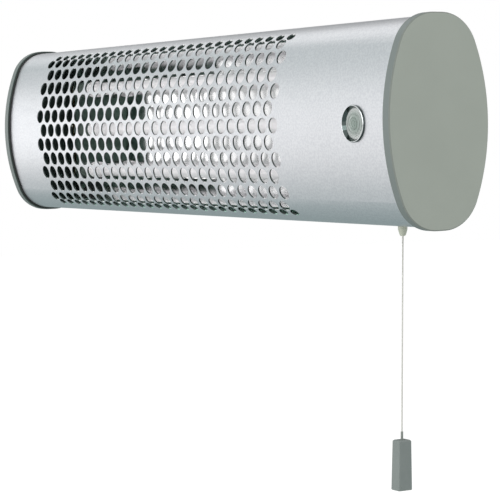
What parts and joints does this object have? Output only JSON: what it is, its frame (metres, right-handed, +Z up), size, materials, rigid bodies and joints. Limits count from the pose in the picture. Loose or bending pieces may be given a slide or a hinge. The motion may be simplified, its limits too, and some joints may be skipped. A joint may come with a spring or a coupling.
{
  "type": "radiant heater",
  "caption": "Wall-hung infrared heater: oval casing with pierced front over quartz lamps, end caps, pull cord with handle and tilting wall bracket.",
  "frame": {"origin": "middle of the wall bracket's back face, between its two screw holes, on the wall plane", "axes": "+X along the heater towards the pull cord's end, +Y into the wall, +Z up; the front faces -Y"},
  "size_m": [0.62, 0.1332, 0.346],
  "materials": {
    "satin_aluminium": "satin rolled sheet, fine grain along the length",
    "mirror_aluminium": "polished, mirror bright",
    "cap_paint": "grey-green paint, low sheen",
    "zinc_sheet": "zinc coated sheet",
    "zinc_plate": "zinc plated pressing",
    "zinc_screws": "zinc plated",
    "seal_rubber": "matt black",
    "milky_quartz": "milky translucent quartz",
    "heating_wire": "dull resistance alloy",
    "lamp_ceramic": "unglazed steatite",
    "bright_chrome": "bright plated",
    "clear_lens": "clear ribbed lens",
    "black_plastic": "black moulding",
    "switch_plastic": "cream moulding",
    "brass_parts": "plain brass",
    "grey_plastic": "grey moulding",
    "lead_sleeve": "glass fibre sleeving",
    "cord_braid": "off-white braided cord",
    "dark_sleeve": "dark shrunk sleeve",
    "handle_plastic": "grey-green moulding, slight sheen"
  },
  "bodies": {
    "heater": {"arm_screws": "zinc_screws", "bracket_screws": "zinc_screws", "cable_gland": "black_plastic", "cap_screws": "zinc_screws", "coil_lower": "heating_wire", "coil_middle": "heating_wire", "coil_upper": "heating_wire", "control_plate": "zinc_sheet", "cord_nipple": "grey_plastic", "earth_stud": "brass_parts", "element_leads": "lead_sleeve", "front_shell": "satin_aluminium", "gland_nut": "black_plastic", "heat_shield": "zinc_sheet", "lamp_bezel": "bright_chrome", "lamp_body": "black_plastic", "lamp_lens": "clear_lens", "lamp_nut": "black_plastic", "lamp_tabs": "brass_parts", "left_cap_seal": "seal_rubber", "left_ceramic_caps": "lamp_ceramic", "left_end_cap": "cap_paint", "left_lamp_bracket": "zinc_sheet", "lever_pin": "zinc_screws", "link_bar": "brass_parts", "nipple_nut": "grey_plastic", "panel_screws": "zinc_screws", "quartz_tube_lower": "milky_quartz", "quartz_tube_middle": "milky_quartz", "quartz_tube_upper": "milky_quartz", "rear_panel": "zinc_sheet", "reflector": "mirror_aluminium", "reflector_posts": "zinc_sheet", "return_lead": "lead_sleeve", "return_spring": "zinc_screws", "right_cap_seal": "seal_rubber", "right_ceramic_caps": "lamp_ceramic", "right_end_cap": "cap_paint", "right_lamp_bracket": "zinc_sheet", "rotor_pin": "zinc_screws", "switch_contacts": "brass_parts", "switch_cover": "black_plastic", "switch_housing": "black_plastic", "terminal_block": "switch_plastic", "terminal_screws": "brass_parts", "tilt_arms": "zinc_plate", "tube_pins": "heating_wire"},
    "cord_slider": {"cord_ferrule": "zinc_screws", "cord_tail": "cord_braid"},
    "hanging_cord": {"cord_sleeve": "dark_sleeve", "pull_cord": "cord_braid", "pull_handle": "handle_plastic"},
    "wall_mount": {"pivot_bolts": "zinc_screws", "pivot_nuts": "zinc_screws", "pivot_washers": "zinc_screws", "wall_bracket": "zinc_plate"},
    "lever": {"switch_lever": "switch_plastic"},
    "rotor": {"switch_rotor": "switch_plastic"}
  },
  "joints": [
    {"name": "heater_tilt", "type": "hinge", "parent": "wall_mount", "child": "heater", "pos_m": [0, -0.026, 0], "axis": [1, 0, 0], "range_deg": [-1.5, 28.5]},
    {"name": "cord_pull", "type": "slide", "parent": "heater", "child": "cord_slider", "axis": [0, 0.0262, -0.9997], "range_m": [0, 0.008], "stiffness_N_per_m": 300, "springref_m": -0.003, "deforming": ["return_spring"]},
    {"name": "cord_swing", "type": "hinge", "parent": "cord_slider", "child": "hanging_cord", "pos_m": [0.265, -0.08632, -0.08391], "axis": [1, 0, 0], "range_deg": [-30, 3]},
    {"name": "lever_turn", "type": "hinge", "parent": "heater", "child": "lever", "pos_m": [0.2495, -0.08717, -0.05162], "axis": [0, 0.9997, 0.0262], "range_deg": [0, 28.8]},
    {"name": "rotor_turn", "type": "hinge", "parent": "heater", "child": "rotor", "pos_m": [0.278, -0.08764, -0.03363], "axis": [0, 0.9997, 0.0262], "range_deg": [0, 270]}
  ],
  "couplings": [
    {"joint": "lever_turn", "follows": "cord_pull", "rad_per_m": 62.395},
    {"joint": "cord_swing", "follows": "heater_tilt", "ratio": -1}
  ]
}
